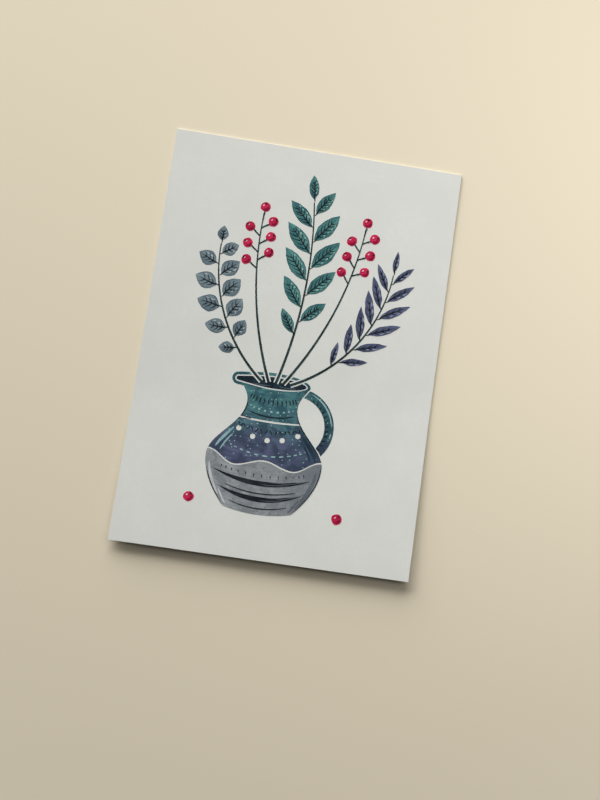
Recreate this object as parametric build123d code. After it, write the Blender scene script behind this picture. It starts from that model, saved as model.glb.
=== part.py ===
from build123d import *
from math import atan2, cos, degrees, radians, sin
import os

# A picture postcard. The origin is the centre of its underside, +X is the picture's right,
# +Y the picture's top and +Z up out of the picture. Lengths are in millimetres.

# The sheet
card_width = 105.0
card_height = 148.0
front_ply_thickness = 0.08
middle_ply_thickness = 0.24
back_ply_thickness = 0.08

# The curl: the sheet lies flat down to a line above its bottom edge, bends up, and runs on straight
curl_length = 66.0
bend_length = 24.0
bend_angle = 1.5
bend_turn_shares = (0.25, 0.5, 0.25)
bend_skew_angle = 4.5

# The films of ink
ink_thickness = 0.03
back_ink_depth = 0.03
ink_gap = 0.5
overrun = 5.0

# The jug
jug_centre_x = -3.5
jug_foot_margin = 17.0
jug_height = 45.0
jug_foot_width = 24.0
jug_belly_width = 41.0
jug_neck_width = 18.0
jug_rim_width = 25.0
jug_rim_depth = 7.0
jug_lip_width = 1.0
jug_spout_reach = 3.0
jug_spout_radius = 2.2
jug_belly_height_share = 0.38
jug_neck_height_share = 0.83
jug_foot_sag = 1.5
jug_foot_slant_shares = (1.0, 1.1)
jug_rim_slant_shares = (0.5, 1.0)

# The glaze, dipped from above, and what is left bare in it
dip_height = 18.0
dip_sag = 2.0
dip_wave = 3.0
dip_wave_count = 4
collar_line_height = 33.0
collar_line_width = 0.7
collar_line_sag = 1.6
dot_row_height = 27.5
dot_row_sag = 3.0
dot_row_width = 21.0
dot_radius = 0.95
dot_count = 5

# The dark brushed bands on the bare clay
band_heights = (12.5, 7.0)
band_width = 1.7
band_sag = 2.4
band_end_gap = 2.6

# The handle
handle_reach = 13.5
handle_top_drop = 4.0
handle_foot_height = 20.5
handle_crown_share = 0.63
handle_crown_width = 3.4
handle_end_width = 4.2

# The sprigs. A path is its tip's reach and rise and its bow, as shares of the spray's height
spray_height = 67.0
stem_width = 0.95
stem_tip_width = 0.4
stem_spacing = 2.6
teal_path_shares = (0.06, 1.0, -0.05)
slate_path_shares = (-0.40, 0.70, 0.09)
violet_path_shares = (0.54, 0.67, -0.11)
left_berry_path_shares = (-0.20, 0.86, 0.05)
right_berry_path_shares = (0.355, 0.86, -0.055)
fallen_berry_shares = ((0.42, -0.66), (-0.36, -0.65))

# The leaves of each kind
leaf_set_back = 1.1
teal_leaf_length = 15.5
teal_leaf_width = 6.2
teal_leaf_angle = 40.0
teal_leaf_pairs = 5
slate_leaf_length = 9.4
slate_leaf_width = 6.8
slate_leaf_angle = 58.0
slate_leaf_pairs = 5
violet_leaf_length = 13.8
violet_leaf_width = 3.6
violet_leaf_angle = 38.0
violet_leaf_pairs = 6
leaf_widest_share = 0.43
lowest_leaf_share = 0.27
leaf_size_end_shares = (0.62, 0.58)
midrib_width = 0.42
midrib_length_shares = (0.06, 0.80)

# The berries
berry_radius = 1.8
berry_stalk_length = 2.7
berry_stalk_width = 0.55
berry_stalk_angle = 52.0
berry_count = 7
lowest_berry_share = 0.70

# The print on the back
print_margin = 7.0
back_line_width = 0.35
address_line_count = 4
address_line_pitch = 9.0
first_address_line_margin = 16.0
stamp_width = 20.0
stamp_height = 24.0

# What follows from these sizes
sheet_thickness = back_ply_thickness + middle_ply_thickness + front_ply_thickness
sheet_reach = card_width + card_height + overrun
jug_foot_y = jug_foot_margin - card_height / 2
jug_top_y = jug_foot_y + jug_height


def side_line(height):
    """The sheet from its side, at a height above its underside: flat, bent up in tangent arcs, straight."""
    line = [Line((-sheet_reach, height), (0, height))]
    step = bend_length / len(bend_turn_shares)
    foot = Vector(0, 0)
    slope = 0
    for share in bend_turn_shares:
        turn = bend_angle * share
        radius = step / radians(turn)
        up = Vector(0, 1).rotate(Axis.Z, slope)
        centre = foot + up * radius
        line.append(CenterArc(centre, radius - height, slope - 90, turn))
        slope += turn
        foot = centre - Vector(0, 1).rotate(Axis.Z, slope) * radius
    end = line[-1]
    line.append(Line(end @ 1, end @ 1 + (end % 1) * sheet_reach))
    return line


def curled_space(low, high):
    """The space between two heights above the underside, bent as the sheet is, and wider than it."""
    under = side_line(low)
    over = side_line(high)
    ends = [Line(under[0] @ 0, over[0] @ 0), Line(under[-1] @ 1, over[-1] @ 1)]
    across = radians(bend_skew_angle)
    bend_line = Plane(
        origin=(0, curl_length - card_height / 2, 0),
        x_dir=(sin(across), -cos(across), 0),
        z_dir=(-cos(across), -sin(across), 0),
    )
    return extrude(bend_line * make_face(under + over + ends), amount=sheet_reach, both=True)


def column(outline):
    """The outline drawn straight up, through all that the sheet's curl can reach."""
    return extrude(outline, amount=card_height, both=True)


def ply(low, high):
    """One ply of the sheet, between two heights above the underside."""
    return column(Rectangle(card_width, card_height)) & curled_space(low, high)


def printed(outline, under=0):
    """A film of ink on the picture side, over a number of films that lie under it."""
    low = sheet_thickness + under * ink_thickness
    return column(outline) & curled_space(low, low + ink_thickness)


def printed_back(outline):
    """A film of ink let in flush with the underside, so that the card still lies flat."""
    return column(outline) & curled_space(0, back_ink_depth)


def jug_point(x, height):
    """A point of the jug, measured from the middle of its foot."""
    return (jug_centre_x + x, jug_foot_y + height)


def jug_side(direction, spread=0):
    """The outline from foot to rim of the right side, +1, or the left, -1, moved out by the spread."""
    foot = jug_point(direction * (jug_foot_width / 2 + spread), 0)
    belly = jug_point(direction * (jug_belly_width / 2 + spread), jug_height * jug_belly_height_share)
    neck = jug_point(direction * (jug_neck_width / 2 + spread), jug_height * jug_neck_height_share)
    rim = jug_point(direction * (jug_rim_width / 2 + spread), jug_height)
    outward, up = jug_foot_slant_shares
    flare, rise = jug_rim_slant_shares
    slants = [(direction * outward, up), (0, 1), (0, 1), (direction * flare, rise)]
    return Spline(foot, belly, neck, rim, tangents=slants)


def jug_half_width(height):
    """How far the jug reaches to each side of its middle, at a height above its foot."""
    level = Line(jug_point(0, height), jug_point(jug_belly_width, height))
    return jug_side(1).intersect(level)[0].X - jug_centre_x


def jug_rim(inset):
    """The rim as it is seen from a little above, with the spout on the left, drawn in by the inset."""
    across = jug_rim_width / 2 - inset
    ring = Ellipse(across, jug_rim_depth / 2 - inset)
    spout_x = jug_spout_radius - jug_spout_reach - jug_rim_width / 2
    spout = Pos(spout_x, 0) * Circle(jug_spout_radius - inset)
    around = make_hull(ring.edges() + spout.edges())
    return Pos(*jug_point(0, jug_height)) * around


def jug_outline(spread=0):
    """The whole jug but its handle, made wider by the spread on both sides."""
    right = jug_side(1, spread)
    left = jug_side(-1, spread)
    foot = ThreePointArc(left @ 0, jug_point(0, -jug_foot_sag), right @ 0)
    body = make_face([right, Line(right @ 1, left @ 1), left, foot])
    return body + jug_rim(-spread)


def above_dip(drop):
    """All that lies above the wavy line that the glaze was dipped to, moved down by the drop."""
    reach = jug_belly_width
    crests = []
    for i in range(2 * dip_wave_count + 1):
        x = reach * (i / dip_wave_count - 1)
        sag = dip_sag * (1 - (2 * x / jug_belly_width) ** 2)
        crests.append(jug_point(x, dip_height - sag - drop + (-1) ** i * dip_wave / 2))
    edge = Spline(*crests, tangents=[(1, 0)] * len(crests))
    top = jug_height + reach
    frame = Polyline(edge @ 1, jug_point(reach, top), jug_point(-reach, top), edge @ 0)
    return make_face([edge, frame])


def crescent(centre, width, sag, thickness):
    """A stroke as from a full brush: thick in the middle, hanging by its sag, and pointed at both ends."""
    x, y = centre
    start = (x - width / 2, y)
    end = (x + width / 2, y)
    upper = ThreePointArc(start, (x, y - sag), end)
    lower = ThreePointArc(start, (x, y - sag - thickness), end)
    return make_face([upper, lower])


def dot_row():
    """A row of round dots that hangs across the jug's shoulder."""
    dots = []
    for i in range(dot_count):
        share = 2 * i / (dot_count - 1) - 1
        place = jug_point(share * dot_row_width / 2, dot_row_height - dot_row_sag * (1 - share**2))
        dots.append(Pos(*place) * Circle(dot_radius))
    return dots


def sprig_path(path_shares, slot):
    """The line of a stem, from its slot in the jug's mouth to its tip."""
    reach, rise, bow = [share * spray_height for share in path_shares]
    start = (jug_centre_x + slot * stem_spacing, jug_top_y)
    tip = (jug_centre_x + reach, jug_top_y + rise)
    return SagittaArc(start, tip, bow)


def teal_path():
    return sprig_path(teal_path_shares, 0)


def slate_path():
    return sprig_path(slate_path_shares, -2)


def violet_path():
    return sprig_path(violet_path_shares, 2)


def left_berry_path():
    return sprig_path(left_berry_path_shares, -1)


def right_berry_path():
    return sprig_path(right_berry_path_shares, 1)


def heading(path, share):
    """The angle at which a path runs, at a share of its length."""
    direction = path % share
    return degrees(atan2(direction.Y, direction.X))


def tapered(path, rim=0):
    """A stem along a path, thinner towards its tip, with a rim of the given width added on both sides."""
    widths = (stem_width, (stem_width + stem_tip_width) / 2, stem_tip_width)
    left = []
    right = []
    for share, width in zip((0, 0.5, 1), widths):
        sideways = radians(heading(path, share) + 90)
        shift = Vector(cos(sideways), sin(sideways)) * (width / 2 + rim)
        left.append(path @ share + shift)
        right.append(path @ share - shift)
    ends = [Line(left[0], right[0]), Line(left[-1], right[-1])]
    return make_face([ThreePointArc(*left), ThreePointArc(*right)] + ends)


def leaf(length, width):
    """A leaf that lies along +X from its stalk at the origin, widest a little below its middle."""
    sides = []
    for half in (width / 2, -width / 2):
        widest = (length * leaf_widest_share, half)
        sides.append(TangentArc(widest, (0, 0), tangent=(-1, 0)))
        sides.append(TangentArc(widest, (length, 0), tangent=(1, 0)))
    return make_face(sides)


def midrib(length):
    """The line down the middle of a leaf of the given length, widest at its stalk."""
    start, end = [share * length for share in midrib_length_shares]
    half = midrib_width / 2
    return make_face([Polyline((start, half), (start, -half), (end, 0), close=True)])


def leaf_places(path, pairs, leaf_angle):
    """Where each leaf of a sprig sits, at what angle, and its size as a share of the largest one."""
    low, high = leaf_size_end_shares
    places = []
    for i in range(2 * pairs):
        along = i / (2 * pairs)
        share = lowest_leaf_share + (1 - lowest_leaf_share) * along
        side = (-1) ** i
        turn = heading(path, share) + side * leaf_angle
        out = Vector(cos(radians(turn)), sin(radians(turn))) * leaf_set_back
        size = 1 - (1 - low) * (1 - along) ** 3 - (1 - high) * along**3
        places.append((path @ share + out, turn, size))
    tip = path @ 1 + (path % 1) * leaf_set_back
    places.append((tip, heading(path, 1), high))
    return places


def leaves(path, pairs, leaf_angle, length, width):
    """All leaves of one sprig."""
    return Sketch() + [
        Pos(place) * Rot(0, 0, turn) * leaf(length * size, width * size)
        for place, turn, size in leaf_places(path, pairs, leaf_angle)
    ]


def midribs(path, pairs, leaf_angle, length):
    """The midribs of all leaves of one sprig."""
    return Sketch() + [
        Pos(place) * Rot(0, 0, turn) * midrib(length * size)
        for place, turn, size in leaf_places(path, pairs, leaf_angle)
    ]


def berry_places(path):
    """Where each stalk of a berry spray leaves its stem, and at what angle."""
    places = []
    for i in range(berry_count - 1):
        share = lowest_berry_share + (1 - lowest_berry_share) * i / (berry_count - 1)
        turn = heading(path, share) + (-1) ** i * berry_stalk_angle
        places.append((path @ share, turn))
    places.append((path @ 1, heading(path, 1)))
    return places


def berries_on(path):
    """The berries of one spray."""
    out = berry_stalk_length + ink_gap + berry_radius
    return [
        Pos(place) * Pos(out * cos(radians(turn)), out * sin(radians(turn))) * Circle(berry_radius)
        for place, turn in berry_places(path)
    ]


def fallen_berries():
    """The berries that have dropped beside the jug's foot."""
    return [
        Pos(jug_centre_x + across * spray_height, jug_top_y + rise * spray_height) * Circle(berry_radius)
        for across, rise in fallen_berry_shares
    ]


def stalks_on(path):
    """The short stalks that carry the berries of one spray."""
    stalk = Pos(berry_stalk_length / 2, 0) * Rectangle(berry_stalk_length, berry_stalk_width)
    return [Pos(place) * Rot(0, 0, turn) * stalk for place, turn in berry_places(path)]


def all_stems(rim=0):
    """Every stem, with a rim of the given width added all round."""
    paths = (teal_path(), slate_path(), violet_path(), left_berry_path(), right_berry_path())
    return Sketch() + [tapered(path, rim) for path in paths]


def jug_glaze():
    """The glazed upper part of the jug, with its mouth, its collar line and a row of dots left bare."""
    collar = crescent(jug_point(0, collar_line_height), jug_belly_width, collar_line_sag, collar_line_width)
    bare = jug_rim(jug_lip_width) + collar + dot_row() + all_stems(ink_gap)
    return printed((jug_outline() & above_dip(0)) - bare)


def jug_clay():
    """The bare lower part of the jug."""
    return printed(jug_outline() - above_dip(ink_gap))


def jug_mouth():
    """The dark inside of the jug, seen over its lip."""
    return printed(jug_rim(jug_lip_width + ink_gap) - all_stems(ink_gap))


def jug_handle():
    """The handle, a bow from the neck to the shoulder, a little stouter where it meets the jug."""
    top = jug_height - handle_top_drop
    foot = handle_foot_height
    crown_x = jug_neck_width / 2 + handle_reach
    crown_height = foot + (top - foot) * handle_crown_share
    outer = ThreePointArc(jug_point(0, top), jug_point(crown_x, crown_height), jug_point(0, foot))
    inner = ThreePointArc(
        jug_point(0, top - handle_end_width),
        jug_point(crown_x - handle_crown_width, crown_height),
        jug_point(0, foot + handle_end_width),
    )
    bow = make_face([outer, Line(outer @ 0, inner @ 0), inner, Line(inner @ 1, outer @ 1)])
    return printed(bow - jug_outline(ink_gap) - all_stems(ink_gap))


def jug_bands():
    """Two dark bands brushed across the bare clay, over its colour."""
    strokes = []
    for height in band_heights:
        width = 2 * (jug_half_width(height) - band_end_gap)
        strokes.append(crescent(jug_point(0, height), width, band_sag, band_width))
    return printed(Sketch() + strokes, under=1)


def stems():
    """The stems of the sprigs and the stalks of the berries."""
    stalks = stalks_on(left_berry_path()) + stalks_on(right_berry_path())
    return printed(all_stems() + stalks)


def teal_leaves():
    return printed(leaves(teal_path(), teal_leaf_pairs, teal_leaf_angle, teal_leaf_length, teal_leaf_width))


def slate_leaves():
    return printed(
        leaves(slate_path(), slate_leaf_pairs, slate_leaf_angle, slate_leaf_length, slate_leaf_width)
    )


def violet_leaves():
    return printed(
        leaves(violet_path(), violet_leaf_pairs, violet_leaf_angle, violet_leaf_length, violet_leaf_width)
    )


def berries():
    hanging = berries_on(left_berry_path()) + berries_on(right_berry_path())
    return printed(Sketch() + hanging + fallen_berries())


def leaf_midribs():
    """The dark midribs, printed over the leaves."""
    ribs = midribs(teal_path(), teal_leaf_pairs, teal_leaf_angle, teal_leaf_length)
    ribs += midribs(slate_path(), slate_leaf_pairs, slate_leaf_angle, slate_leaf_length)
    ribs += midribs(violet_path(), violet_leaf_pairs, violet_leaf_angle, violet_leaf_length)
    return printed(ribs, under=1)


# The back is read sideways on: its lines run along Y, its top is at +X, and the address is in the +Y half


def divider_line():
    """The line down the middle of the back, between the message and the address."""
    return printed_back(Rectangle(card_width - 2 * print_margin, back_line_width))


def address_lines():
    """The lines for the address, from the lowest one up."""
    length = card_height / 2 - 2 * print_margin
    lines = []
    for i in range(address_line_count):
        x = first_address_line_margin + i * address_line_pitch - card_width / 2
        lines.append(Pos(x, card_height / 4) * Rectangle(back_line_width, length))
    return printed_back(Sketch() + lines)


def stamp_frame():
    """The plain box in the top corner where the stamp goes."""
    outer = Rectangle(stamp_height, stamp_width)
    inner = Rectangle(stamp_height - 2 * back_line_width, stamp_width - 2 * back_line_width)
    place = Pos(
        card_width / 2 - print_margin - stamp_height / 2,
        card_height / 2 - print_margin - stamp_width / 2,
    )
    return printed_back(place * (outer - inner))


def back_ply():
    """The ply that is written on, with its print let in."""
    sheet = ply(0, back_ply_thickness)
    return sheet - divider_line() - address_lines() - stamp_frame()


def middle_ply():
    """The thicker pulp ply between the two faces."""
    return ply(back_ply_thickness, back_ply_thickness + middle_ply_thickness)


def front_ply():
    """The smooth ply that takes the picture."""
    return ply(sheet_thickness - front_ply_thickness, sheet_thickness)


os.makedirs("parts", exist_ok=True)
for piece in (
    front_ply,
    middle_ply,
    back_ply,
    jug_glaze,
    jug_clay,
    jug_handle,
    jug_mouth,
    jug_bands,
    stems,
    teal_leaves,
    slate_leaves,
    violet_leaves,
    berries,
    leaf_midribs,
    divider_line,
    address_lines,
    stamp_frame,
):
    export_step(piece(), f"parts/{piece.__name__}.step")
    print(piece.__name__)
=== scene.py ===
# %% [markdown]
# # A picture postcard
# On the bench a postcard is one sheet of board, three plies thick, with a picture printed on its face and a
# few thin lines on its back. The picture on this one is a stoneware jug with leafy sprigs and berries. It was
# painted in gouache, a matt and opaque watercolour, and then printed, so each colour is a flat film with the
# marks of a brush in it. The sheet, the jug and the stems come from the frame at their real size. Here they
# get their paper and paint, and what a brush leaves is modelled: leaves, berries, veins, ticks and dabs.

# %% Load the frame
import bpy
import random
from itertools import combinations
from math import cos, pi, radians, sin, sqrt
from mathutils import Matrix, Vector


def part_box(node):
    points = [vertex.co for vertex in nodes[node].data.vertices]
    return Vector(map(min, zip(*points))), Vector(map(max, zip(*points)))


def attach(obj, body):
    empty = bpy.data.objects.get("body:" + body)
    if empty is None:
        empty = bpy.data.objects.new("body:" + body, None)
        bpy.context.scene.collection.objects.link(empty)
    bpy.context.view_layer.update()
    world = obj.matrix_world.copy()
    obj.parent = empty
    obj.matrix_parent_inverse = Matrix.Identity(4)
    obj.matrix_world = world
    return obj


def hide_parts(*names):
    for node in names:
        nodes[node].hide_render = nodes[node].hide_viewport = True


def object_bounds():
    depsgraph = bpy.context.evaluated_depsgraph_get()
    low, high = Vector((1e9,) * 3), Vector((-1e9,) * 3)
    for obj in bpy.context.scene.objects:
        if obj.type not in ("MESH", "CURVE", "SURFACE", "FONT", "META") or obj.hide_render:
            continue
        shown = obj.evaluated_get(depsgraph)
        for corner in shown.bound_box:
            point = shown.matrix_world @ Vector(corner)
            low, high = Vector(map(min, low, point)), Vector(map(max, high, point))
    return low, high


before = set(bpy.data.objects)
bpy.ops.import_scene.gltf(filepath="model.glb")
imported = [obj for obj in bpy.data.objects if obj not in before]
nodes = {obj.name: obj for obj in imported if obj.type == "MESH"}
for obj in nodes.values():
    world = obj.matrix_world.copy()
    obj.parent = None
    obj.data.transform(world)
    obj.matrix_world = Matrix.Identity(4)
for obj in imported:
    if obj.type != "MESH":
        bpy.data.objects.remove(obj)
cad_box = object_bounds()
mm = 0.001
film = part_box("leaf_midribs")[1].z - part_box("teal_leaves")[1].z
print(f"{len(nodes)} pieces, one film of print is {film / mm:.3f} mm")

# %% [markdown]
# The photograph was taken from almost straight above, at the height of a hand held over a table, and the
# card lies a little turned in it. A camera can be placed with three angles. Here it is aimed at a point and
# then rolled, which keeps three facts apart: where the lens is, what it looks at and how the card lies.
# The small function that puts it in the scene also serves for the lamps and the brush marks.

# %% Camera
camera_place = Vector((-0.8, -30.6, 212.7)) * mm
camera_target = Vector((5.9, -16.6, 0.0)) * mm
camera_roll = radians(8.45)
focal_length_px = 600
picture_height_px = 800


def put(name, data):
    """A new object with this data, in the scene."""
    piece = bpy.data.objects.new(name, data)
    bpy.context.scene.collection.objects.link(piece)
    return piece


lens = bpy.data.cameras.new("camera")
lens.sensor_fit = "VERTICAL"
lens.lens = lens.sensor_height * focal_length_px / picture_height_px
lens.clip_start = 10 * mm
camera = put("camera", lens)
look = (camera_target - camera_place).normalized()
right = look.cross(Vector((-sin(camera_roll), cos(camera_roll), 0))).normalized()
turned = Matrix((right, right.cross(look), -look)).transposed()
camera.matrix_world = Matrix.Translation(camera_place) @ turned.to_4x4()
bpy.context.scene.camera = camera
print(f"lens {lens.lens:.1f} mm, {camera_place.z / mm:.0f} mm above the table")

# %% [markdown]
# A few small helpers serve every material. Painters name a colour by how it looks on a screen, an sRGB hex
# value, and the renderer wants linear light, so one function turns one into the other. The next adds a node,
# sets it and links it in one call, so that a material reads as a list of what happens to its surface. What
# happens most often here is that one colour gives way to another where some value rises, so that step is a
# helper too.

# %% Colours and nodes
def linear(hex_colour):
    """An sRGB hex colour as the linear values that a shader takes."""
    levels = [int(hex_colour[i : i + 2], 16) / 255 for i in (1, 3, 5)]
    return (*[v / 12.92 if v <= 0.04045 else ((v + 0.055) / 1.055) ** 2.4 for v in levels], 1)


def add_node(tree, kind, inputs=None, **settings):
    """A new node with its settings, and each input either linked to a socket or set to a value."""
    node = tree.nodes.new(kind)
    for name, value in settings.items():
        setattr(node, name, value)
    for name, value in (inputs or {}).items():
        if isinstance(value, bpy.types.NodeSocket):
            tree.links.new(value, node.inputs[name])
        else:
            node.inputs[name].default_value = value
    return node


def give_way(tree, first, second, value, low, high, most=1.0):
    """The first colour, giving way to the second as a value rises from low to high, at most by a share."""
    rise = {"Value": value, "From Min": low, "From Max": high, "To Max": most}
    share = add_node(tree, "ShaderNodeMapRange", rise, interpolation_type="SMOOTHSTEP").outputs[0]
    return add_node(tree, "ShaderNodeMix", {0: share, 6: first, 7: second}, data_type="RGBA").outputs[2]


print(f"a mid grey on the screen is {linear('#808080')[0]:.3f} in linear light")

# %% [markdown]
# Paper fibre and dried paint both have an IOR near 1.5, which is the shader's own default. Both are porous,
# so nothing on the card is glossy, and every surface has the same low gloss.
# Patterns are measured in millimetres of the card, so each one is told where a point of the card is.

# %% A matt material
matt_gloss = 0.02


def new_material(name, roughness):
    """A matt material with a plain shader, and its node tree."""
    material = bpy.data.materials.new(name)
    material.use_nodes = True
    shader = material.node_tree.nodes["Principled BSDF"]
    shader.inputs["Roughness"].default_value = roughness
    shader.inputs["Specular IOR Level"].default_value = matt_gloss
    return material, material.node_tree, shader


def place_in_mm(tree):
    """Where a point of the card is, in millimetres, the unit in which paper and brush marks are measured."""
    place = add_node(tree, "ShaderNodeTexCoord").outputs["Object"]
    return add_node(tree, "ShaderNodeVectorMath", {0: place, "Scale": 1 / mm}, operation="SCALE").outputs[0]


print(f"a gloss of {matt_gloss}, where 0.5 is that of a plain plastic")

# %% [markdown]
# The light comes from one low window beyond the top of the picture. It leaves no shadow along the top and
# left edges, and a soft one that widens along the bottom, where the card curls off the table. A sun lamp
# would give that direction too, but only a large lamp has the soft edge, so it is an area lamp some way off.
# A pale screen that stands close by on the right throws back a little of it, so the card's right side is
# the brighter one.

# %% Light
def lamp(name, way, elevation, distance, size, power):
    """A rectangular area lamp, aimed at the card from a way along the table and some degrees above it."""
    light = bpy.data.lights.new(name, "AREA")
    light.shape = "RECTANGLE"
    light.size, light.size_y = size
    light.energy = power
    stand = put(name, light)
    along = Vector((*way, 0)).normalized() * cos(radians(elevation))
    stand.location = (along + Vector((0, 0, sin(radians(elevation))))) * distance
    stand.rotation_euler = (-stand.location).to_track_quat("-Z", "Y").to_euler()


lamp("window", way=(-0.42, 0.91), elevation=14, distance=1.8, size=(2.4, 0.75), power=121)
lamp("pale_screen", way=(0.92, 0.39), elevation=42, distance=0.3, size=(0.2, 0.2), power=0.31)
print("a window and a pale screen")

# %% [markdown]
# The rest of the room fills the shadows evenly, up to the level at which white paper shows as white paper.
# Where the lens looks past the table, or a surface mirrors or lets through what is behind it, the room is a
# pale backdrop. Light Path tells such rays from those that only light the card, so the backdrop can be pale
# without adding to the light.

# %% The room
fill_level = 0.045
backdrop = linear("#E6DFD0")


def looking(tree):
    """1 for a ray that looks, from the lens or by way of a mirror or glass, and 0 for one that lights."""
    rays = add_node(tree, "ShaderNodeLightPath").outputs
    seen = rays["Is Camera Ray"]
    for kind in ("Is Glossy Ray", "Is Transmission Ray"):
        seen = add_node(tree, "ShaderNodeMath", {0: seen, 1: rays[kind]}, operation="MAXIMUM").outputs[0]
    return seen


world = bpy.data.worlds.new("room")
world.use_nodes = True
room = world.node_tree
fill = (fill_level, fill_level, fill_level, 1)
shown = add_node(room, "ShaderNodeMix", {0: looking(room), 6: fill, 7: backdrop}, data_type="RGBA")
room.links.new(shown.outputs[2], room.nodes["Background"].inputs["Color"])
bpy.context.scene.world = world
bpy.context.scene.view_settings.view_transform = "Standard"
print(f"the room lights the card at {fill_level} and is seen at {backdrop[1]:.2f}")

# %% [markdown]
# Postcard board is uncoated on both sides: pressed fibres, white and matt, that look even from a step away
# and faintly cloudy close up. The clouding is two noises, one at the size of a clot of fibres and one at the
# size of the sheet's own unevenness. The tooth, a few hundredths of a millimetre high, is bump. Real tooth
# is finer than the picture can show, so it is drawn about twice as coarse.

# %% Paper
paper_roughness = 0.78
fibre_clot = 1.6
sheet_cloud = 14.0
tooth_pitch = 0.45
tooth_height = 0.012


def toothed(tree, shader, colour, place):
    """Gives the surface its colour, and the fine tooth of uncoated board, which breaks up the light."""
    tree.links.new(colour, shader.inputs["Base Color"])
    grain = add_node(
        tree, "ShaderNodeTexNoise", {"Vector": place, "Scale": 1 / tooth_pitch, "Detail": 3, "Roughness": 0.6}
    )
    bump = add_node(tree, "ShaderNodeBump", {"Height": grain.outputs[0], "Distance": tooth_height * mm})
    tree.links.new(bump.outputs[0], shader.inputs["Normal"])


def board(name, bright, dull):
    """Uncoated board, faintly clouded between a bright and a dull white."""
    material, tree, shader = new_material(name, paper_roughness)
    place = place_in_mm(tree)
    clots = add_node(tree, "ShaderNodeTexNoise", {"Vector": place, "Scale": 1 / fibre_clot, "Detail": 4})
    clouds = add_node(tree, "ShaderNodeTexNoise", {"Vector": place, "Scale": 1 / sheet_cloud, "Detail": 2})
    base = give_way(tree, linear(bright), linear(dull), clouds.outputs[0], low=0.2, high=0.8)
    clotted = give_way(tree, base, linear(dull), clots.outputs[0], low=0.35, high=0.75, most=0.6)
    toothed(tree, shader, clotted, place)
    return material


def dress(node_name, material):
    """Gives a piece of the frame its material."""
    nodes[node_name].data.materials.clear()
    nodes[node_name].data.materials.append(material)


dress("front_ply", board("uncoated_white_board", "#D3D4CE", "#CECFC9"))
dress("middle_ply", board("grey_pulp_core", "#D0CEC6", "#C2C0B6"))
dress("back_ply", board("uncoated_back_board", "#D8D7D0", "#D1D0C9"))
print("three plies of board")

# %% [markdown]
# Gouache is pigment and chalk in a gum, brushed on wet. A brush leaves fine streaks along its way, pools
# where it stops, and lays the colour thicker and thinner in patches. One function makes these marks, from a
# vector whose X runs with the brush and whose Y runs across it, both in millimetres. Each colour is then a
# light tone, a deep tone and the way its brush went. Print on uncoated board stays matt.

# %% Paint
paint_roughness = 0.7
streak_length = 9.0
streak_width = 0.55
patch_size = 5.0
usual_streaks = 0.55


def brushed(tree, way, light, deep, streaks=usual_streaks):
    """A colour that varies from light to deep in patches, with streaks along the brush's way."""
    patches = add_node(
        tree,
        "ShaderNodeTexNoise",
        {"Vector": way, "Scale": 1 / patch_size, "Detail": 3, "Roughness": 0.55, "Distortion": 0.7},
    )
    stretch = (1 / streak_length, 1 / streak_width, 1 / streak_width)
    drawn_out = add_node(tree, "ShaderNodeVectorMath", {0: way, 1: stretch}, operation="MULTIPLY").outputs[0]
    lines = add_node(tree, "ShaderNodeTexNoise", {"Vector": drawn_out, "Scale": 1.0, "Detail": 2})
    wash = give_way(tree, light, deep, patches.outputs[0], low=0.36, high=0.64)
    return give_way(tree, wash, deep, lines.outputs[0], low=0.38, high=0.66, most=streaks)


def gouache(name, light, deep, streaks=usual_streaks):
    """A plain gouache, brushed from left to right, so that it looks matt and laid on by hand."""
    material, tree, shader = new_material(name, paint_roughness)
    place = place_in_mm(tree)
    toothed(tree, shader, brushed(tree, place, linear(light), linear(deep), streaks), place)
    return material


brush_ink = gouache("black_brush_ink", "#2B3136", "#1A1E22")
stem_paint = gouache("dark_stem_gouache", "#35494A", "#22302F")
back_print = gouache("grey_back_print", "#85868A", "#74757A", streaks=0.2)
dress("jug_bands", brush_ink)
dress("stems", stem_paint)
for name in ("divider_line", "address_lines", "stamp_frame"):
    dress(name, back_print)
print("inks and stem paint")

# %% [markdown]
# On a thrown pot every mark runs round the pot, and seen from a little above, a line round a pot hangs down
# in the middle. So the brush's way on the jug is the place on the card, bent into hanging rings. Where the
# jug stands and how wide it is comes from the frame.

# %% Rings round the jug
clay_low, clay_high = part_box("jug_clay")
mouth_low, mouth_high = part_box("jug_mouth")
mouth = (mouth_low + mouth_high) / 2
jug_x = (clay_low.x + clay_high.x) / 2
belly = (clay_high.x - clay_low.x) / 2
foot_y = clay_low.y
ring_sag = 2.4 * mm


def round_the_jug(tree, place):
    """The brush's way on the jug, how far out a point is, from -1 to 1, and how high."""
    part = add_node(tree, "ShaderNodeSeparateXYZ", {0: place}).outputs
    across = add_node(tree, "ShaderNodeMath", {0: part[0], 1: -jug_x / mm}, operation="ADD").outputs[0]
    reach = add_node(tree, "ShaderNodeMath", {0: across, 1: mm / belly}, operation="MULTIPLY").outputs[0]
    square = add_node(tree, "ShaderNodeMath", {0: reach, 1: 2.0}, operation="POWER").outputs[0]
    ring = add_node(
        tree, "ShaderNodeMath", {0: square, 1: -ring_sag / mm, 2: part[1]}, operation="MULTIPLY_ADD"
    )
    way = add_node(tree, "ShaderNodeCombineXYZ", {0: across, 1: ring.outputs[0]}).outputs[0]
    return way, reach, part[1]


print(f"the jug is {2 * belly / mm:.0f} mm wide at its belly")

# %% [markdown]
# The dipped glaze goes from teal at the rim to violet where it ran thick above the clay. It ran unevenly, so
# a noise moves that change up and down. It is darker on the side away from the light, and drops of a lighter
# glaze lie on it. The drops come from a pattern of cells, with a round dot in the middle of some of them,
# because a noise would give blots of every shape.

# %% Glaze
fleck_core = 0.7
bare_cells = 0.55
run_length = 16.0
drift_size = 7.0
drift_reach = 16.0


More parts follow.
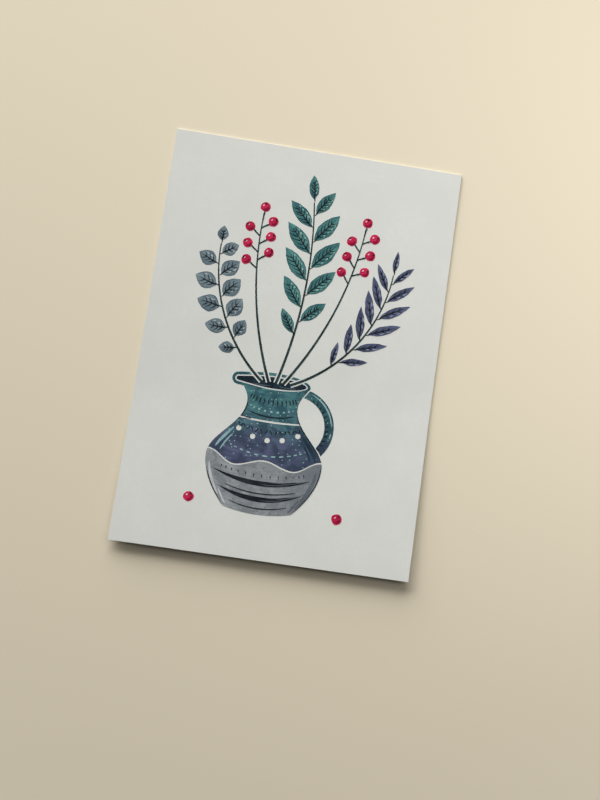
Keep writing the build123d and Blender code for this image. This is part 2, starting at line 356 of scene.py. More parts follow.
def flecked(tree, place, colour, fleck, pitch, radius):
    """Small round flecks of another colour, in some of the cells of a pattern that has this pitch."""
    cells = add_node(
        tree, "ShaderNodeTexVoronoi", {"Vector": place, "Scale": 1 / pitch}, voronoi_dimensions="2D"
    ).outputs
    edge = radius / pitch
    dotted = give_way(tree, fleck, colour, cells["Distance"], low=edge * fleck_core, high=edge)
    chosen = add_node(
        tree, "ShaderNodeMath", {0: cells["Color"], 1: bare_cells}, operation="GREATER_THAN"
    ).outputs[0]
    return add_node(tree, "ShaderNodeMix", {0: chosen, 6: colour, 7: dotted}, data_type="RGBA").outputs[2]


def glaze(name):
    """The dipped glaze, from teal at the rim to violet where it ends."""
    material, tree, shader = new_material(name, paint_roughness)
    place = place_in_mm(tree)
    way, reach, height = round_the_jug(tree, place)
    drift = add_node(tree, "ShaderNodeTexNoise", {"Vector": place, "Scale": 1 / drift_size, "Detail": 2})
    level = add_node(
        tree, "ShaderNodeMath", {0: drift.outputs[0], 1: drift_reach, 2: height}, operation="MULTIPLY_ADD"
    ).outputs[0]
    teal = brushed(tree, way, linear("#517F80"), linear("#31525C"))
    violet = brushed(tree, way, linear("#565D76"), linear("#3A4155"))
    run = give_way(tree, violet, teal, level, low=mouth.y / mm - run_length, high=mouth.y / mm)
    shaded = give_way(tree, run, linear("#263A44"), reach, low=0.15, high=0.95, most=0.55)
    spattered = flecked(tree, place, shaded, linear("#8FADA9"), pitch=1.9, radius=0.21)
    toothed(tree, shader, spattered, place)
    return material


dress("jug_glaze", glaze("teal_to_violet_glaze"))
dress("jug_handle", glaze("teal_handle_glaze"))
print(f"the glaze turns from violet to teal over {run_length:.0f} mm")

# %% [markdown]
# The lower part of the jug was never dipped, so the bare clay shows: stoneware, grey and dry, brushed round
# the jug like the glaze. Iron in it has fired to small dark specks, which come from the same kind of cells.
# The inside of the jug is plain and dark, so that it looks deep.

# %% Clay
def clay(name):
    """Bare stoneware with iron specks, darker on the side away from the light."""
    material, tree, shader = new_material(name, paint_roughness)
    place = place_in_mm(tree)
    way, reach, _ = round_the_jug(tree, place)
    body = brushed(tree, way, linear("#94989A"), linear("#757A7D"))
    shaded = give_way(tree, body, linear("#5F666D"), reach, low=0.1, high=1.0, most=0.6)
    specked = flecked(tree, place, shaded, linear("#3D4043"), pitch=1.5, radius=0.17)
    toothed(tree, shader, specked, place)
    return material


dress("jug_clay", clay("iron_specked_stoneware"))
dress("jug_mouth", gouache("dark_jug_inside", "#2B3A45", "#1B252D"))
print("bare clay and a dark inside")

# %% [markdown]
# From here on shapes are modelled. Each begins as a primitive of unit size, is shaped in edit mode, and is
# then copied to its places. The helpers below pick one object, choose points by their place, and apply what
# modifiers an object carries, as one would do by hand before the next step.

# %% Picking and applying
def pick(*pieces):
    """Selects these pieces alone, and makes the first the active one."""
    bpy.ops.object.select_all(action="DESELECT")
    for piece in pieces:
        piece.select_set(True)
    bpy.context.view_layer.objects.active = pieces[0]


def select_points(piece, wanted):
    """Selects the points of a piece that a test on their place accepts, and goes to edit mode."""
    pick(piece)
    bpy.ops.object.mode_set(mode="EDIT")
    bpy.ops.mesh.select_mode(type="VERT")
    bpy.ops.mesh.select_all(action="DESELECT")
    bpy.ops.object.mode_set(mode="OBJECT")
    for vertex in piece.data.vertices:
        vertex.select = wanted(vertex.co)
    bpy.ops.object.mode_set(mode="EDIT")


def apply_all(piece):
    """Applies every modifier of a piece, from the first to the last."""
    pick(piece)
    for name in [m.name for m in piece.modifiers]:
        bpy.ops.object.modifier_apply(modifier=name)


print("ready to pick, select and apply")

# %% [markdown]
# Leaves and brush marks start from one shape, a long strip. It is a grid whose columns of points are picked
# one after the other and scaled to the width wanted there. Where the strip ends in a point, the points of
# that column fall together, so they are merged. A curve with a taper would give such a strip as well, but a
# grid brings a plain UV map, from 0 to 1 along and across, which the leaf paint can read.

# %% A shaped strip
weld_distance = 1e-6


def shaped_strip(name, columns, rows, half_width):
    """A strip from 0 to 1 along X, as wide at each place as a function of that place says."""
    bpy.ops.object.select_all(action="DESELECT")
    bpy.ops.mesh.primitive_grid_add(
        x_subdivisions=columns, y_subdivisions=rows, size=1, calc_uvs=True, location=(0.5, 0, 0)
    )
    strip = bpy.context.object
    strip.name = name
    bpy.ops.object.transform_apply(location=True)
    for i in range(columns + 1):
        x = i / columns
        select_points(strip, lambda co, x=x: abs(co.x - x) < 0.5 / columns)
        bpy.ops.transform.resize(value=(1, 2 * half_width(x), 1))
        bpy.ops.object.mode_set(mode="OBJECT")
    select_points(strip, lambda co: True)
    bpy.ops.mesh.remove_doubles(threshold=weld_distance)
    bpy.ops.object.mode_set(mode="OBJECT")
    return strip


print(f"points closer than {weld_distance} are merged")

# %% [markdown]
# A brush mark is a thin strip. A tick starts round and thins to a point where the brush lifts, a dab is
# short and full, and a line is pointed at both ends. Each is modelled once, a unit long. A few dozen faces
# are enough for one mark, since hundreds of them lie on the card.

# %% Master brush marks
tick_head = 0.12
tick_taper = 2.2
dab_lean = 0.1


def tick_half_width(x):
    """A round start, soon full, and a long point."""
    head = sqrt(max(0, 1 - (1 - x / tick_head) ** 2)) if x < tick_head else 1
    return 0.5 * head * (1 - x**tick_taper)


def dab_half_width(x):
    """Round at both ends, a little fuller at the start."""
    return 0.5 * sqrt(max(0, 1 - (2 * x - 1) ** 2)) * (1 + dab_lean * (1 - 2 * x))


def line_half_width(x):
    """A drawn line, pointed at both ends."""
    return 0.5 * sqrt(sin(pi * x)) if 0 < x < 1 else 0


tick = shaped_strip("tick", columns=8, rows=2, half_width=tick_half_width)
dab = shaped_strip("dab", columns=8, rows=2, half_width=dab_half_width)
line = shaped_strip("line", columns=14, rows=2, half_width=line_half_width)
print("brush marks with", [len(m.data.polygons) for m in (tick, dab, line)], "faces")

# %% [markdown]
# Every copy of a mark is bent along a path of its own: a point of the strip keeps its share of the way and
# its distance to one side. A curve modifier could bend it too, but needs a curve object for each of the
# hundreds of marks. A path here is a function from a share of the way to a place, so it needs none.

# %% Marks along a path
clear_of_card = 1 * mm
above_card = cad_box[1].z + clear_of_card


def slope(path, t, nudge=0.01):
    """The way that a path goes, at a share of its length."""
    return (path(t + nudge) - path(t - nudge)).normalized()


def drawn(master, path, width):
    """A copy of a brush mark that follows a path, in the air above the card."""
    piece = put(master.name, master.data.copy())
    for vertex in piece.data.vertices:
        t, side, _ = vertex.co
        way = slope(path, t)
        x, y = path(t) + Vector((-way.y, way.x)) * side * width
        vertex.co = (x, y, above_card)
    return piece


def mark(master, start, end, width, bow=0.0):
    """A copy of a brush mark between two places, bowed to its left by a share of its length."""
    along = end - start
    across = Vector((-along.y, along.x))
    return drawn(master, lambda t: start + along * t + across * 4 * bow * t * (1 - t), width)


print(f"marks are drawn {above_card / mm:.1f} mm above the table")

# %% [markdown]
# Print follows the sheet, so each piece of the picture is made flat in the air above the card, let down
# straight on to the face ply, raised by the films that lie under it and given its own thickness. Each of
# these steps is a modifier, because a modifier can read the curl from the sheet itself. The edge of a
# painted shape is never quite even, so shapes wider than a line are first pushed a little sideways by a
# cloud texture.

# %% Letting a film down on the card
wobble = bpy.data.textures.new("hand_wobble", "CLOUDS")
wobble.cloud_type = "COLOR"
wobble.noise_scale = 2.2 * mm


def uneven_edge(piece, strength):
    """Pushes the points of a piece a little sideways, as an unsteady hand would."""
    push = piece.modifiers.new("uneven", "DISPLACE")
    push.texture = wobble
    push.direction = "RGB_TO_XYZ"
    push.strength = strength


def let_down(piece, under):
    """Lets a piece down on the face ply, raises it by the films under it and makes it one film thick."""
    drop = piece.modifiers.new("drop", "SHRINKWRAP")
    drop.target = nodes["front_ply"]
    drop.wrap_method = "PROJECT"
    drop.use_project_z = True
    drop.use_negative_direction = True
    drop.use_positive_direction = False
    if under:
        rise = piece.modifiers.new("rise", "DISPLACE")
        rise.direction = "Z"
        rise.mid_level = 0
        rise.strength = under * film
    body = piece.modifiers.new("body", "SOLIDIFY")
    body.thickness = film
    body.offset = 1


print(f"a film is let down by {clear_of_card / mm:.1f} mm or more")

# %% [markdown]
# All marks of one colour are joined into one piece, as they are one film of print. The piece gets its name
# and its material, and where it stands for plain films of the frame it says so, so that those are hidden.
# Marks on a colour have one film under them. Where marks can cross, the later ones lie a fifth of a film
# higher, or two fifths, so that no two tops share a plane.

# %% Laying print on the card
first_marks, second_marks, third_marks = 1.0, 1.2, 1.4
marks_on_bands = 2.4


def laid(pieces, name, material, under=0, uneven=0.0, stands_for=()):
    """Joins flat pieces into one, lays it on the card and names it as a finished piece."""
    pick(*pieces)
    if len(pieces) > 1:
        bpy.ops.object.join()
    piece = bpy.context.object
    piece.name = name
    if uneven:
        uneven_edge(piece, uneven)
    let_down(piece, under)
    apply_all(piece)
    piece.data.materials.clear()
    piece.data.materials.append(material)
    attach(piece, "root")
    if stands_for:
        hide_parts(*stands_for)
    print(name, len(piece.data.polygons), "faces")
    return piece


print(f"a mark on one colour is {(first_marks + 1) * film / mm:.2f} mm above the board")

# %% [markdown]
# Where each leaf and berry sits is known already: the frame has a plain film in each place. So these are
# taken apart into islands, and each island gives its two ends and its width. Leaves point away from the jug,
# so the end that is nearer to its mouth is where the leaf is joined on. Read in this way, the places stay
# right if the frame changes.

# %% Reading places from the frame
def islands(node_name):
    """The corners, seen from above, of each separate film in a piece of the frame."""
    films = nodes[node_name].copy()
    films.data = films.data.copy()
    films.parent = None
    bpy.context.scene.collection.objects.link(films)
    select_points(films, lambda co: True)
    bpy.ops.mesh.remove_doubles(threshold=film / 100)
    bpy.ops.mesh.separate(type="LOOSE")
    bpy.ops.object.mode_set(mode="OBJECT")
    parts = list(bpy.context.selected_objects)
    outlines = [[v.co.xy.copy() for v in part.data.vertices] for part in parts]
    for part in parts:
        bpy.data.meshes.remove(part.data)
    return outlines


def leaf_places(node_name):
    """The joined end, the tip and the width of each leaf of a sprig."""
    places = []
    for outline in islands(node_name):
        ends = max(combinations(outline, 2), key=lambda pair: (pair[0] - pair[1]).length)
        base, tip = sorted(ends, key=lambda p: (p - mouth.xy).length)
        way = (tip - base).normalized()
        sides = [way.cross(p - base) for p in outline]
        places.append((base, tip, max(sides) - min(sides)))
    return sorted(places, key=lambda place: (place[0].y, place[0].x))


sprigs = {name: leaf_places(name) for name in ("teal_leaves", "slate_leaves", "violet_leaves")}
for name, places in sprigs.items():
    longest = max((tip - base).length for base, tip, _ in places)
    print(f"{name}: {len(places)} leaves of up to {longest / mm:.1f} mm")

# %% [markdown]
# The frame's plain leaf films could be painted as they are, but they have no points inside and no UV map, so
# each leaf gets a copy of one blade instead. The blade is a strip whose sides are two arcs that meet at the
# widest place, with enough rows and columns to follow the sheet and to take an uneven edge.

# %% A leaf blade
leaf_widest = 0.43


def leaf_half_width(x):
    """A pointed blade: one arc rises from each end to the widest place."""
    reach = (leaf_widest - x) / leaf_widest if x < leaf_widest else (x - leaf_widest) / (1 - leaf_widest)
    return 0.5 * (1 - reach**2)


blade = shaped_strip("blade", columns=20, rows=6, half_width=leaf_half_width)
print("a leaf blade with", len(blade.data.polygons), "faces")

# %% [markdown]
# A leaf is painted in two strokes, one for each half, so one half is a little darker, the colour pools along
# the edge, and the brush's streaks run from the stalk to the tip. The blade's own UV map runs with the leaf
# wherever it lies, which suits the streaks better than the place on the card does. Each leaf has a tone of
# its own, an attribute of its points. It makes some leaves lighter, and moves each one to another part of
# the noise, so that no two have the same streaks.

# %% Leaf paint
leaf_streaks = 0.7
tone_leap = 90.0


def leaf_paint(name, light, deep, edge, length, width):
    """The paint of one sprig's leaves: streaks from stalk to tip, one half deeper, the edge pooled."""
    material, tree, shader = new_material(name, paint_roughness)
    uv = add_node(tree, "ShaderNodeUVMap", uv_map="UVMap").outputs[0]
    tone = add_node(tree, "ShaderNodeAttribute", attribute_name="tone").outputs["Fac"]
    part = add_node(tree, "ShaderNodeSeparateXYZ", {0: uv}).outputs
    leaf = add_node(tree, "ShaderNodeCombineXYZ", {0: part[0], 1: part[1], 2: tone}).outputs[0]
    scale = (length / mm, width / mm, tone_leap)
    way = add_node(tree, "ShaderNodeVectorMath", {0: leaf, 1: scale}, operation="MULTIPLY").outputs[0]
    paint = brushed(tree, way, linear(light), linear(deep), leaf_streaks)
    halved = give_way(tree, paint, linear(deep), part[1], low=0.47, high=0.53, most=0.42)
    lifted = give_way(tree, halved, linear(light), tone, low=0.35, high=1.0, most=0.4)
    centred = add_node(tree, "ShaderNodeMath", {0: part[1], 1: -0.5}, operation="ADD").outputs[0]
    aside = add_node(tree, "ShaderNodeMath", {0: centred}, operation="ABSOLUTE").outputs[0]
    pooled = give_way(tree, lifted, linear(edge), aside, low=0.36, high=0.48, most=0.65)
    toothed(tree, shader, pooled, place_in_mm(tree))
    return material


def largest(node_name):
    """The length and width of a sprig's largest leaf, for the scale of its streaks."""
    return max(((tip - base).length, width) for base, tip, width in sprigs[node_name])


leaf_tones = {
    "teal": ("#5C9089", "#386467", "#284D55"),
    "slate": ("#7F9094", "#5B6B74", "#45545E"),
    "violet": ("#676D88", "#454B62", "#34394E"),
}
leaf_paints = {
    colour: leaf_paint(colour + "_leaf_gouache", *tones, *largest(colour + "_leaves"))
    for colour, tones in leaf_tones.items()
}
print("paint for sprigs in", *leaf_paints)

# %% [markdown]
# The painted leaves stand in for the plain films of the frame, each in its place. All leaves of one sprig
# are one piece, as they are one colour of the print.

# %% Painted leaves
leaf_edge = 0.5 * mm
random.seed(7)


def toned(piece):
    """Gives a copy of a leaf its own tone, from 0 to 1."""
    tone = piece.data.attributes.new("tone", "FLOAT", "POINT")
    tone.data.foreach_set("value", [random.random()] * len(piece.data.vertices))
    return piece


for colour, paint in leaf_paints.items():
    name = colour + "_leaves"
    blades = [toned(mark(blade, base, tip, width)) for base, tip, width in sprigs[name]]
    laid(blades, "painted_" + name, paint, uneven=leaf_edge, stands_for=(name,))

# %% [markdown]
# When the blades are dry the leaves get their drawing, with a fine brush and black ink. The midrib comes
# first. It starts full at the stalk, stops short of the tip and never runs quite straight. A short stalk
# joins the leaf to its stem, in the paint of the stems. Both are copies of the tick.

# %% Midribs and stalks
rib_width = 0.55 * mm
rib_shares = (0.0, 0.84)
rib_bow = 0.03
stalk_length = 1.2 * mm
stalk_width = 0.5 * mm
stalk_overlap = 0.1
stalk_bow = 0.1
random.seed(11)


def ribs_and_stalks():
    """The midribs of all leaves, and the short stalks that join the leaves to their stems."""
    ribs = []
    stalks = []
    for base, tip, _ in sum(sprigs.values(), []):
        way = tip - base
        start, end = [base + way * share for share in rib_shares]
        ribs.append(mark(tick, start, end, rib_width, random.uniform(-rib_bow, rib_bow)))
        stalk_end = base - way.normalized() * stalk_length
        stalks.append(mark(tick, base + way * stalk_overlap, stalk_end, stalk_width, stalk_bow))
    return ribs, stalks


ribs, stalks = ribs_and_stalks()
laid(ribs, "painted_midribs", brush_ink, under=second_marks, stands_for=("leaf_midribs",))
laid(stalks, "leaf_stalks", stem_paint)

# %% [markdown]
# The veins leave the midrib in pairs, lean towards the tip and stop short of the edge. How long each one can
# be follows from the width of the blade at the place where it ends. A hand never repeats itself exactly, so
# each place, angle, length and width is a little off.

# %% Veins
vein_rise = 0.14
last_vein_end = 0.97
vein_bow = 0.08


def turned_way(way, angle):
    """A direction on the card, turned to the left by an angle."""
    return Vector((way.x * cos(angle) - way.y * sin(angle), way.x * sin(angle) + way.y * cos(angle)))


def unsteady(share):
    """A number near 1, off by up to a share."""
    return 1 + random.uniform(-share, share)


def veins(node_name, shares, degrees, width, fill):
    """Pairs of veins along every leaf of a sprig, each as long as a share of the way to the edge."""
    marks = []
    angle = radians(degrees)
    for base, tip, leaf_width in sprigs[node_name]:
        way = tip - base
        for share in shares:
            for side in (1, -1):
                start = base + way * share * unsteady(0.05)
                turn = turned_way(way.normalized(), side * angle * unsteady(0.12))
                to_edge = leaf_half_width(min(share + vein_rise, last_vein_end)) * leaf_width / sin(angle)
                end = start + turn * to_edge * fill * unsteady(0.1)
                marks.append(mark(tick, start, end, width * unsteady(0.2), side * vein_bow))
    return marks


veined = veins("teal_leaves", (0.14, 0.27, 0.40, 0.53, 0.66), degrees=33, width=0.34 * mm, fill=0.74)
veined += veins("slate_leaves", (0.16, 0.36, 0.56), degrees=44, width=0.32 * mm, fill=0.66)
veined += veins("violet_leaves", (0.20, 0.40, 0.60), degrees=24, width=0.28 * mm, fill=0.62)
laid(veined, "leaf_veins", brush_ink, under=second_marks)

# %% [markdown]
# Lighter paint goes between the veins, on the lighter half of each leaf: a few dabs beside the midrib and
# nearly in line with it, each a little closer to it at the end than at the start.

# %% Pale touches on the leaves
touch_closes = 0.12
touch_bow = -0.08


def pale_touches(node_name, shares, aside, length, width):
    """Dabs on every leaf, aside by a share of the way to the edge, their length a share of the leaf's."""
    marks = []
    for base, tip, leaf_width in sprigs[node_name]:
        way = tip - base
        out = turned_way(way.normalized(), -pi / 2)
        for share in shares:
            off = out * leaf_half_width(share) * leaf_width * aside
            start = base + way * share + off * unsteady(0.15)
            end = start + way * length * unsteady(0.2) - off * touch_closes
            marks.append(mark(dab, start, end, width * unsteady(0.2), touch_bow))
    return marks


touches = {
    "teal": pale_touches("teal_leaves", (0.24, 0.38, 0.52, 0.65), aside=0.60, length=0.09, width=0.58 * mm),
    "slate": pale_touches("slate_leaves", (0.26, 0.50), aside=0.56, length=0.16, width=0.62 * mm),
    "violet": pale_touches("violet_leaves", (0.30, 0.52), aside=0.55, length=0.17, width=0.46 * mm),
}
pale_tones = {
    "teal": ("#93B8B1", "#74A19B"),
    "slate": ("#A9B6B8", "#8F9FA4"),
    "violet": ("#9A9FB6", "#7F859E"),
}
for colour, marks in touches.items():
    paint = gouache(f"pale_{colour}_gouache", *pale_tones[colour])
    laid(marks, colour + "_leaf_lights", paint, under=first_marks)

# %% [markdown]
# A berry is one full drop of colour, so its edge is round but not even. The drop starts as a filled circle.
# Its one large face would not follow an uneven edge well, so an inset gives it a ring of small ones round a
# middle.

# %% A drop of colour
bpy.ops.object.select_all(action="DESELECT")
bpy.ops.mesh.primitive_circle_add(vertices=22, radius=1, fill_type="NGON")
drop_of_colour = bpy.context.object
drop_of_colour.name = "drop"
bpy.ops.object.mode_set(mode="EDIT")
bpy.ops.mesh.select_all(action="SELECT")
bpy.ops.mesh.inset(thickness=0.35)
bpy.ops.object.mode_set(mode="OBJECT")
print("a drop with", len(drop_of_colour.data.polygons), "faces")

# %% [markdown]
# A berry has the dry remains of its flower at the end away from the stalk, so each berry's place includes
# the way to that end. It is read from the frame: a stem ends near each berry that hangs, and the flower is
# across from there. Two berries have dropped, and lie with the flower at the upper right.

# %% Places of the berries
stalk_reach = 2.0 * mm
dropped_way = Vector((0.5, 0.866))
stem_points = [v.co.xy for v in nodes["stems"].data.vertices]


def berry_places():
    """The middle, the radius and the way to the dry flower of every berry, and whether it hangs on a stem."""
    places = []
    for outline in islands("berries"):
        middle = sum(outline, Vector((0, 0))) / len(outline)
        radius = max((p - middle).length for p in outline)
        nearest = min((p - middle).length for p in stem_points)
        ends = [p for p in stem_points if (p - middle).length < nearest + stalk_width / 4]
        stalk = sum(ends, Vector((0, 0))) / len(ends)
        hangs = nearest < radius + stalk_reach
        away = (middle - stalk).normalized() if hangs else dropped_way
        places.append((middle, radius, away, hangs))
    return sorted(places, key=lambda place: (place[0].y, place[0].x))


berries = berry_places()
print(len(berries), "berries,", sum(hangs for _, _, _, hangs in berries), "of them on stems")

# %% [markdown]
# What makes a flat drop a ball is a deeper crescent away from the light and a pale gleam towards it. Each
# runs between two angles on a ring inside the berry, and the crescent is bowed out to follow the edge. The
# dry flower is three short ticks that spread from one place. Their sizes are shares of the berry's radius.

# %% Marks on the berries
shade_ring, shade_angles, shade_width, shade_bow = 0.62, (-125, 20), 0.42, -0.32
gleam_ring, gleam_angles, gleam_width, gleam_bow = 0.55, (165, 118), 0.26, -0.12
flower_root, flower_length, flower_width = 0.50, 0.42, 0.2
flower_spread = 0.7
rim_share = 0.85
berry_stalk_bow = 0.08
random.seed(23)


def berry_marks():
    """The drop, the shade, the gleam, the dry flower and the end of the stalk of every berry."""
    drops, shades, gleams, flowers, stalks = [], [], [], [], []
    for middle, radius, away, hangs in berries:
        round_drop = put("drop", drop_of_colour.data.copy())
        size = Matrix.Diagonal((radius * unsteady(0.04), radius * unsteady(0.04), 1, 1))
        round_drop.data.transform(Matrix.Translation((middle.x, middle.y, above_card)) @ size)
        drops.append(round_drop)
        ends = [middle + turned_way(Vector((shade_ring, 0)), radians(a)) * radius for a in shade_angles]
        shades.append(mark(line, *ends, shade_width * radius, shade_bow))
        ends = [middle + turned_way(Vector((gleam_ring, 0)), radians(a)) * radius for a in gleam_angles]
        gleams.append(mark(dab, *ends, gleam_width * radius, gleam_bow))
        root = middle + away * flower_root * radius
        for spread in (-flower_spread, 0, flower_spread):
            end = root + turned_way(away, spread) * flower_length * radius
            flowers.append(mark(tick, root, end, flower_width * radius))
        if hangs:
            rim = middle - away * rim_share * radius
            stalks.append(mark(tick, rim, rim - away * stalk_reach, stalk_width, berry_stalk_bow))
    return drops, shades, gleams, flowers, stalks


drops, shades, gleams, flowers, stalks = berry_marks()
print(len(drops), "drops with", len(shades + gleams + flowers + stalks), "marks")

# %% [markdown]
# The berries are laid like the leaves: first the drops, in place of the plain films of the frame, then what
# is painted on them, each in its own colour. The magenta is a strong one, since these are the accents.

# %% Berries
berry_edge = 0.55 * mm
berry_paint = gouache("magenta_berry_gouache", "#C62F53", "#A61D41", streaks=0.7)
berry_shade = gouache("deep_magenta_gouache", "#861A39", "#74132F")
berry_light = gouache("pale_pink_gouache", "#EBC0C7", "#DDA5B0")

laid(drops, "painted_berries", berry_paint, uneven=berry_edge, stands_for=("berries",))
laid(shades, "berry_shades", berry_shade, under=first_marks)
laid(gleams, "berry_lights", berry_light, under=second_marks)
laid(flowers, "berry_flowers", brush_ink, under=third_marks)
laid(stalks, "berry_stalks", stem_paint, under=third_marks)

# %% [markdown]
# The jug's own drawing is placed by shares of its height and width, so that it follows its form. How wide
# the jug is at each height is read from where its outline in the frame crosses that height, on the left,
# which is the side without the handle.

# %% Heights and widths of the jug
jug_edges = []
for name in ("jug_glaze", "jug_clay"):
    mesh = nodes[name].data
    ends = [[mesh.vertices[i].co for i in edge.vertices] for edge in mesh.edges]
    jug_edges += [(one, other) for one, other in ends if one.x < jug_x and other.x < jug_x]


def up(share):
    """The height on the card of a share of the jug, from its foot to the middle of its mouth."""
    return foot_y + share * (mouth.y - foot_y)


def half_width(y):
    """How far the jug reaches to its left at a height on the card: the outermost of its edges there."""
    crossed = [(one, other) for one, other in jug_edges if (one.y - y) * (other.y - y) < 0]
    shares = [(one, other, (y - one.y) / (other.y - one.y)) for one, other in crossed]
    return max(jug_x - one.lerp(other, share).x for one, other, share in shares)


print("half widths", [round(half_width(up(share)) / mm, 1) for share in (0.1, 0.3, 0.5, 0.7, 0.84, 0.95)])

# %% [markdown]
# The drawing follows the form in two ways. Rings run round the jug, so they hang in the middle, and what is
# set out on a ring crowds together towards its ends, as equal steps round a pot do when it is seen from
# the front. Strokes run down it and keep their share of its width, so they swell with the belly. Both are
# paths, so any mark can follow them.

# %% Paths on the jug
ring_turn = radians(62)


def ring(share, reach, sag):
    """A path round the jug, at a share of its height and out to a share of its width on both sides."""
    radius = half_width(up(share)) * reach / sin(ring_turn)

    def place(t):
        angle = ring_turn * (2 * t - 1)
        return Vector((jug_x + radius * sin(angle), up(share) - sag * cos(angle) ** 2))

    return place


def side(reach, high, low):
    """A path down the jug, at a share of its half width, between two shares of its height."""

    def place(t):
        y = up(high + (low - high) * t)
        return Vector((jug_x + reach * half_width(y), y - ring_sag * (1 - reach**2)))

    return place


steps = [ring(0.5, reach=1, sag=0)(i / 6).x - jug_x for i in range(7)]
print("equal steps round the middle of the jug lie at", [round(step / mm, 1) for step in steps], "mm")

# %% [markdown]
# Ink goes on in rows of ticks and thin rings, which say that the pot is thrown, and in a broken line along
# its outline. From the rim down: upright ticks on the neck, a ring, a zigzag on the shoulder, short ticks
# below the edge of the glaze and two rings near the foot.

# %% Ink on the jug
crossing_bow = 0.06
random.seed(31)


def crossing(path, count, length, width, lean=0.0):
    """Ticks across a path, leaning to one side and the other in turn."""
    marks = []
    for i in range(count):
        t = i / (count - 1)
        across = turned_way(slope(path, t), pi / 2 + lean * (-1) ** i) * length * unsteady(0.12) / 2
        marks.append(mark(tick, path(t) + across, path(t) - across, width * unsteady(0.15), crossing_bow))
    return marks


inked = crossing(ring(0.885, reach=0.85, sag=1.9 * mm), count=13, length=2.3 * mm, width=0.46 * mm)
inked += [drawn(line, ring(0.775, reach=0.86, sag=1.8 * mm), width=0.42 * mm)]
inked += crossing(ring(0.668, reach=0.87, sag=2.2 * mm), count=16, length=1.7 * mm, width=0.4 * mm, lean=0.55)
inked += crossing(ring(0.338, reach=0.72, sag=2.4 * mm), count=13, length=1.1 * mm, width=0.34 * mm)
for share, reach, sag in ((0.212, 0.70, 2.6 * mm), (0.092, 0.72, 2.2 * mm)):
    inked.append(drawn(line, ring(share, reach, sag), width=0.36 * mm))
for edge, high, low in ((-0.985, 0.86, 0.70), (0.985, 0.80, 0.52), (-0.985, 0.30, 0.04), (0.985, 0.42, 0.05)):
    inked.append(drawn(line, side(edge, high, low), width=0.34 * mm))
laid(inked, "jug_ticks", brush_ink, under=third_marks)

# %% [markdown]
# Then come the lights on the side of the window and the shades on the other, each in a tone of the colour
# below it. They are long strokes that follow the outline a little way in, a broad one and a thin one beside
# it. Two rows of pale dashes run round the neck and the belly.

# %% Lights and shades on the jug
end_loss = 0.5
glaze_light = gouache("pale_glaze_gouache", "#8FB0AF", "#7B9CA0")
glaze_deep = gouache("deep_glaze_gouache", "#2A3E4A", "#20313C")
clay_light = gouache("pale_clay_gouache", "#BFC1C2", "#AEB1B3")
clay_deep = gouache("deep_clay_gouache", "#61686E", "#545B62")


def dashes(path, count, length, width):
    """Dabs in line with a path, shorter towards its ends."""
    marks = []
    for i in range(count):
        t = i / (count - 1)
        shorter = 1 - end_loss * (2 * t - 1) ** 2
        reach = slope(path, t) * length * shorter * unsteady(0.12) / 2
        marks.append(mark(dab, path(t) - reach, path(t) + reach, width * unsteady(0.15)))
    return marks


def strokes(*rows):
    """Long strokes down the jug, from rows with the reach, the high and the low end and the width of each."""
    return [drawn(line, side(*place), width) for *place, width in rows]


paled = dashes(ring(0.815, reach=0.83, sag=1.8 * mm), count=9, length=1.0 * mm, width=0.75 * mm)
paled += dashes(ring(0.508, reach=0.66, sag=3.2 * mm), count=11, length=1.9 * mm, width=0.55 * mm)
paled += strokes((-0.90, 0.64, 0.47, 1.0 * mm), (-0.80, 0.60, 0.46, 0.6 * mm))
laid(paled, "glaze_lights", glaze_light, under=third_marks)
deepened = strokes((0.90, 0.64, 0.45, 1.1 * mm), (0.81, 0.58, 0.46, 0.7 * mm))
laid(deepened, "glaze_shades", glaze_deep, under=second_marks)

paled = strokes((-0.93, 0.36, 0.11, 0.9 * mm), (-0.85, 0.17, 0.06, 0.6 * mm))
laid(paled, "clay_lights", clay_light, under=second_marks)
deepened = strokes((0.91, 0.38, 0.08, 1.3 * mm), (0.82, 0.17, 0.06, 0.7 * mm))
laid(deepened, "clay_shades", clay_deep, under=second_marks)

# %% [markdown]
# The two black bands were each one long stroke, and the brush ran dry towards the right end, so the clay
# shows through there in thin scratches. A scratch lies along the band's middle line or a little to one side
# of it. That line hangs between the band's two ends and passes a little above the band's lowest point.

# %% Scratches in the bands
above_lowest = 1.0 * mm
scratch_width = 0.22 * mm
# How far above the band's middle line a scratch is, and between which shares of the band's length it runs
scratch_places = ((0.5 * mm, 0.58, 0.86), (0.0, 0.70, 0.95), (-0.45 * mm, 0.50, 0.80))


def scratch(outline, offset, start, end):
    """A thin line of clay along a part of a band."""
    left, right = min(outline, key=lambda p: p.x), max(outline, key=lambda p: p.x)
    sag = (left.y + right.y) / 2 - min(p.y for p in outline) - above_lowest

    def place(t):
        share = start + (end - start) * t
        return left.lerp(right, share) + Vector((0, offset - 4 * sag * share * (1 - share)))

    return drawn(line, place, scratch_width)


scratches = [scratch(outline, *place) for outline in islands("jug_bands") for place in scratch_places]
laid(scratches, "band_scratches", clay_deep, under=marks_on_bands)

# %% [markdown]
# The handle is a bow, so its marks go round the bow's own centre. Three places on its outer edge, the
# highest, the lowest and the furthest out, lie on one circle and give that centre.

# %% The bow of the handle
def circle_through(a, b, c):
    """The centre and radius of the circle through three points."""
    ab, ac = b - a, c - a
    turn = 2 * ab.cross(ac)
    x = (ac.y * ab.length_squared - ab.y * ac.length_squared) / turn
    y = (ab.x * ac.length_squared - ac.x * ab.length_squared) / turn
    return a + Vector((x, y)), Vector((x, y)).length


bow = [v.co.xy for v in nodes["jug_handle"].data.vertices]
handle_middle, handle_radius = circle_through(
    max(bow, key=lambda p: p.y), max(bow, key=lambda p: p.x), min(bow, key=lambda p: p.y)
)
print(f"the handle bows at {handle_radius / mm:.1f} mm")

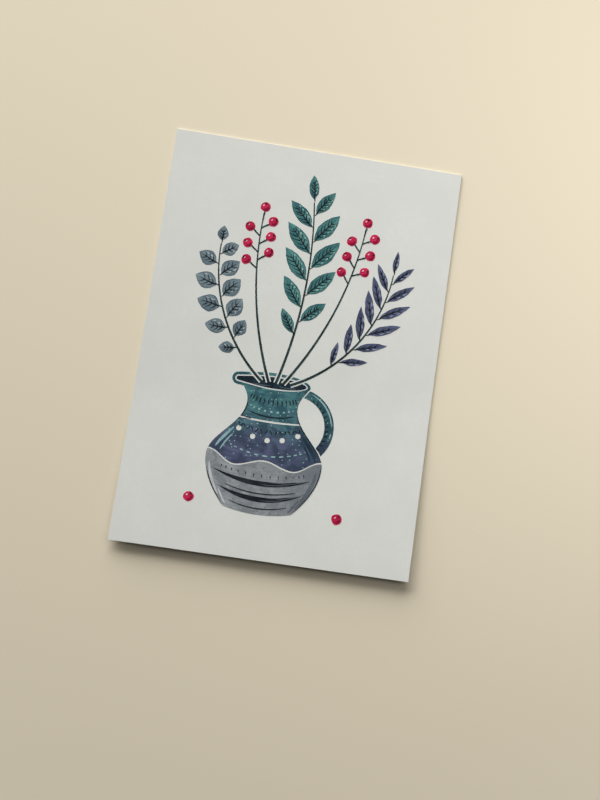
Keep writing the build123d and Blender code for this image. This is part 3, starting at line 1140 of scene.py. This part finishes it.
# %% [markdown]
# Short ticks bind the handle like cord. Each leans a little, from further in to further out. A long pale
# line and a dab, near the outer edge, show the side of the light.

# %% Drawing on the handle
def on_handle(angle, depth):
    """A place on the handle, at an angle in degrees and some way in from its outer edge."""
    return handle_middle + turned_way(Vector((1, 0)), radians(angle)) * (handle_radius - depth)


def along_handle(start, end, depth):
    """A path along the handle, from one angle to another."""
    return lambda t: on_handle(start + (end - start) * t, depth)


random.seed(37)
bound = []
for angle in range(-38, 70, 9):
    inner, outer = on_handle(angle, depth=3.0 * mm), on_handle(angle + 3, depth=1.7 * mm)
    bound.append(mark(tick, inner, outer, 0.42 * mm * unsteady(0.15)))
laid(bound, "handle_ticks", brush_ink, under=third_marks)
paled = [drawn(line, along_handle(72, 6, depth=0.85 * mm), width=0.6 * mm)]
paled.append(drawn(dab, along_handle(-3, -12, depth=0.9 * mm), width=0.5 * mm))
laid(paled, "handle_lights", glaze_light, under=third_marks)

# %% [markdown]
# The inside of the jug is dark, so it looks deep, and two faint strokes of a greyer tone along the front of
# the mouth show its wall.

# %% Drawing in the mouth
inside_light = gouache("grey_jug_inside", "#566670", "#465560")
stroke_length = 6.5 * mm
stroke_width = 0.4 * mm
stroke_bow = -0.04

inside = []
for reach, low in ((-8.0 * mm, 1.1 * mm), (1.2 * mm, 1.0 * mm)):
    start = Vector((jug_x + reach, mouth.y - low))
    inside.append(mark(line, start, start + Vector((stroke_length, 0)), stroke_width, stroke_bow))
laid(inside, "mouth_lights", inside_light, under=second_marks)

# %% [markdown]
# The floor is a plain pale sheet and isn't part of the card. It lies a hair below the card's underside, so
# that the two surfaces don't share a plane. Round the card it is lit as the card is and takes its shadow.
# Nearer to the window it would be blown out, and away from it dark, so further out it slowly gives way to
# the backdrop for the rays that look. The light on the card stays as it is, and the floor's end is hidden.

# %% Floor
floor_reach = 1.6
floor_drop = 0.02 * mm
floor_roughness = 0.85
plain_reach = 0.14
fade_reach = 0.42

bpy.ops.object.select_all(action="DESELECT")
bpy.ops.mesh.primitive_plane_add(size=2 * floor_reach, location=(0, 0, -floor_drop))
floor = bpy.context.object
floor.name = "floor"
floor_material, tree, shader = new_material("pale_floor", floor_roughness)
shader.inputs["Base Color"].default_value = linear("#DDD2BA")
place = add_node(tree, "ShaderNodeTexCoord").outputs["Object"]
away = add_node(tree, "ShaderNodeVectorMath", {0: place}, operation="LENGTH").outputs["Value"]
fade = {"Value": away, "From Min": plain_reach, "From Max": fade_reach, "To Max": looking(tree)}
share = add_node(tree, "ShaderNodeMapRange", fade, interpolation_type="SMOOTHSTEP").outputs[0]
glow = add_node(tree, "ShaderNodeEmission", {"Color": backdrop})
faded = add_node(tree, "ShaderNodeMixShader", {0: share, 1: shader.outputs[0], 2: glow.outputs[0]})
tree.links.new(faded.outputs[0], tree.nodes["Material Output"].inputs["Surface"])
floor.data.materials.append(floor_material)
print(f"a floor of {2 * floor_reach} m, plain up to {plain_reach} m from the middle of the card")

# %% [markdown]
# The masters have all been copied by now. They are no part of the card, so they are taken away.

# %% Remove the masters
masters = (tick, dab, line, blade, drop_of_colour)
print("masters taken away:", [master.name for master in masters])
for master in masters:
    bpy.data.meshes.remove(master.data)
